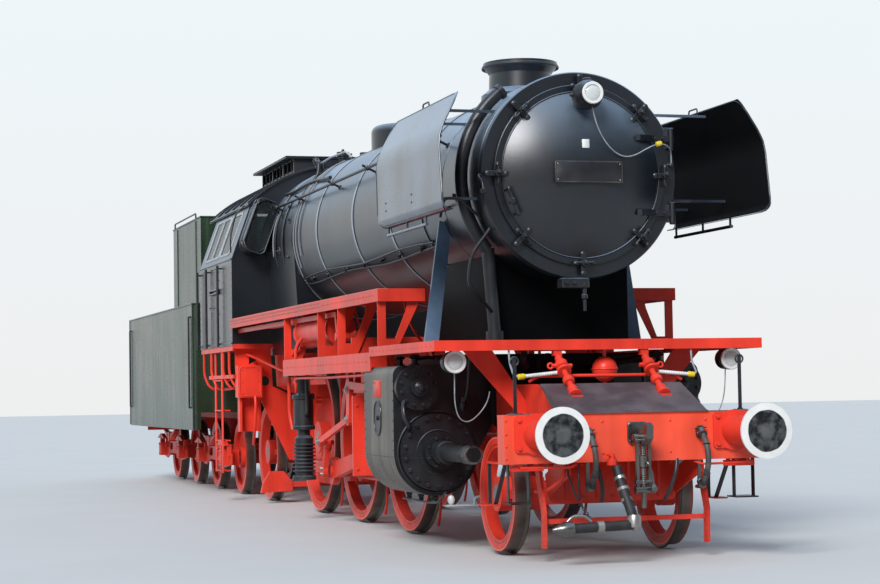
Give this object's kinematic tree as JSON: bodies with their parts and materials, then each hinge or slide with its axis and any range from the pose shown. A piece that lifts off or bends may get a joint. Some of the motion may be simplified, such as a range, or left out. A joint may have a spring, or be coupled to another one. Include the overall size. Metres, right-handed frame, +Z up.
{
  "type": "steam locomotive with tender",
  "caption": "Large two-cylinder steam tender locomotive with leading and trailing trucks, smoke deflectors, closed cab and bogie tender.",
  "frame": {"origin": "on the ground plane of the wheel flanges, under the middle of the length over buffers", "axes": "+X forward along the track, +Y to the engine's left, +Z up"},
  "size_m": [21.325, 3.084, 4.578],
  "materials": {
    "red_paint": "satin",
    "wheel_paint": "satin",
    "black_paint": "satin",
    "cylinder_paint": "satin",
    "bright_steel": "satin",
    "clear_glass": "gloss",
    "hose_rubber": "matte"
  },
  "bodies": {
    "engine": {"main_frame": "red_paint", "buffer_beam": "red_paint", "front_platform": "black_paint", "running_boards": "red_paint", "platform_supports": "red_paint", "smokebox": "black_paint", "boiler_barrel": "black_paint", "firebox": "black_paint", "smokebox_supports": "black_paint", "chimney": "black_paint", "steam_dome": "black_paint", "smoke_deflectors": "black_paint", "cylinders": "cylinder_paint", "main_rods": "red_paint", "motion_brackets": "red_paint", "valve_gear": "red_paint", "pumps": "black_paint", "air_reservoirs": "red_paint", "ash_pan": "red_paint", "cab_floor": "red_paint", "cab_side_right": "black_paint", "cab_side_left": "black_paint", "cab_front": "black_paint", "cab_rear": "black_paint", "cab_roof": "black_paint", "roof_ventilator": "black_paint", "front_buffers": "red_paint", "headlamps": "black_paint", "steps_and_guards": "red_paint", "handrails": "black_paint", "brake_gear": "red_paint", "front_coupling": "bright_steel", "brake_hoses": "hose_rubber", "boiler_fittings": "black_paint", "cab_fittings": "black_paint", "cab_windows": "clear_glass"},
    "door": {"smokebox_door": "black_paint", "door_fittings": "black_paint"},
    "cab_door_r": {"cab_door_right": "black_paint"},
    "cab_door_l": {"cab_door_left": "black_paint"},
    "leading_truck": {"leading_truck": "red_paint"},
    "leading_wheels": {"leading_wheelset": "wheel_paint"},
    "drivers_front": {"driving_wheelset_front": "wheel_paint"},
    "drivers_main": {"driving_wheelset_main": "wheel_paint"},
    "drivers_rear": {"driving_wheelset_rear": "wheel_paint"},
    "rod_right": {"coupling_rod_right": "red_paint"},
    "rod_left": {"coupling_rod_left": "red_paint"},
    "trailing_truck": {"trailing_truck": "red_paint"},
    "trailing_wheels": {"trailing_wheelset": "wheel_paint"},
    "tender": {"tender_tank": "black_paint", "coal_bunker": "black_paint", "tender_frame": "red_paint", "tender_fittings": "red_paint"},
    "filler_lid": {"filler_lid": "black_paint"},
    "bogie_front": {"tender_bogie_front": "red_paint"},
    "bogie_rear": {"tender_bogie_rear": "red_paint"},
    "tender_wheels_1": {"tender_wheelset_1": "wheel_paint"},
    "tender_wheels_2": {"tender_wheelset_2": "wheel_paint"},
    "tender_wheels_3": {"tender_wheelset_3": "wheel_paint"},
    "tender_wheels_4": {"tender_wheelset_4": "wheel_paint"}
  },
  "joints": [
    {"name": "leading_truck_swing", "type": "hinge", "parent": "engine", "child": "leading_truck", "pos_m": [7.3225, 0, 0.528], "axis": [0, 0, 1], "range_deg": [-2.5, 2.5]},
    {"name": "leading_axle", "type": "hinge", "parent": "leading_truck", "child": "leading_wheels", "pos_m": [8.7725, 0, 0.528], "axis": [0, 1, 0], "continuous": true},
    {"name": "main_axle", "type": "hinge", "parent": "engine", "child": "drivers_main", "pos_m": [3.8725, 0, 0.903], "axis": [0, 1, 0], "continuous": true},
    {"name": "front_driving_axle", "type": "hinge", "parent": "engine", "child": "drivers_front", "pos_m": [5.8725, 0, 0.903], "axis": [0, 1, 0], "continuous": true},
    {"name": "rear_driving_axle", "type": "hinge", "parent": "engine", "child": "drivers_rear", "pos_m": [1.8725, 0, 0.903], "axis": [0, 1, 0], "continuous": true},
    {"name": "rod_pin_right", "type": "hinge", "parent": "drivers_main", "child": "rod_right", "pos_m": [3.8725, -0.912, 0.573], "axis": [0, 1, 0], "continuous": true},
    {"name": "rod_pin_left", "type": "hinge", "parent": "drivers_main", "child": "rod_left", "pos_m": [4.2025, 0.912, 0.903], "axis": [0, 1, 0], "continuous": true},
    {"name": "trailing_truck_swing", "type": "hinge", "parent": "engine", "child": "trailing_truck", "pos_m": [-0.3875, 0, 0.653], "axis": [0, 0, 1], "range_deg": [-4, 4]},
    {"name": "trailing_axle", "type": "hinge", "parent": "trailing_truck", "child": "trailing_wheels", "pos_m": [-1.1275, 0, 0.653], "axis": [0, 1, 0], "continuous": true},
    {"name": "tender_drawbar", "type": "hinge", "parent": "engine", "child": "tender", "pos_m": [-2.4675, 0, 1.028], "axis": [0, 0, 1], "range_deg": [-3, 3]},
    {"name": "front_bogie_swing", "type": "hinge", "parent": "tender", "child": "bogie_front", "pos_m": [-4.1025, 0, 0.628], "axis": [0, 0, 1], "range_deg": [-4, 4]},
    {"name": "rear_bogie_swing", "type": "hinge", "parent": "tender", "child": "bogie_rear", "pos_m": [-7.9025, 0, 0.628], "axis": [0, 0, 1], "range_deg": [-4, 4]},
    {"name": "tender_axle_1", "type": "hinge", "parent": "bogie_front", "child": "tender_wheels_1", "pos_m": [-3.1525, 0, 0.528], "axis": [0, 1, 0], "continuous": true},
    {"name": "tender_axle_2", "type": "hinge", "parent": "bogie_front", "child": "tender_wheels_2", "pos_m": [-5.0525, 0, 0.528], "axis": [0, 1, 0], "continuous": true},
    {"name": "tender_axle_3", "type": "hinge", "parent": "bogie_rear", "child": "tender_wheels_3", "pos_m": [-6.9525, 0, 0.528], "axis": [0, 1, 0], "continuous": true},
    {"name": "tender_axle_4", "type": "hinge", "parent": "bogie_rear", "child": "tender_wheels_4", "pos_m": [-8.8525, 0, 0.528], "axis": [0, 1, 0], "continuous": true},
    {"name": "smokebox_door_hinge", "type": "hinge", "parent": "engine", "child": "door", "pos_m": [8.8235, 0.87, 3.328], "axis": [0, 0, 1], "range_deg": [0, 110]},
    {"name": "cab_door_right_hinge", "type": "hinge", "parent": "engine", "child": "cab_door_r", "pos_m": [-0.9655, -1.439, 2.528], "axis": [0, 0, -1], "range_deg": [0, 85]},
    {"name": "cab_door_left_hinge", "type": "hinge", "parent": "engine", "child": "cab_door_l", "pos_m": [-0.9655, 1.439, 2.528], "axis": [0, 0, 1], "range_deg": [0, 85]},
    {"name": "filler_lid_hinge", "type": "hinge", "parent": "tender", "child": "filler_lid", "pos_m": [-7.3815, 0, 2.832], "axis": [0, -1, 0], "range_deg": [0, 100]}
  ],
  "couplings": [
    {"joint": "front_driving_axle", "follows": "main_axle", "ratio": 1},
    {"joint": "rear_driving_axle", "follows": "main_axle", "ratio": 1},
    {"joint": "rod_pin_right", "follows": "main_axle", "ratio": -1},
    {"joint": "rod_pin_left", "follows": "main_axle", "ratio": -1}
  ]
}
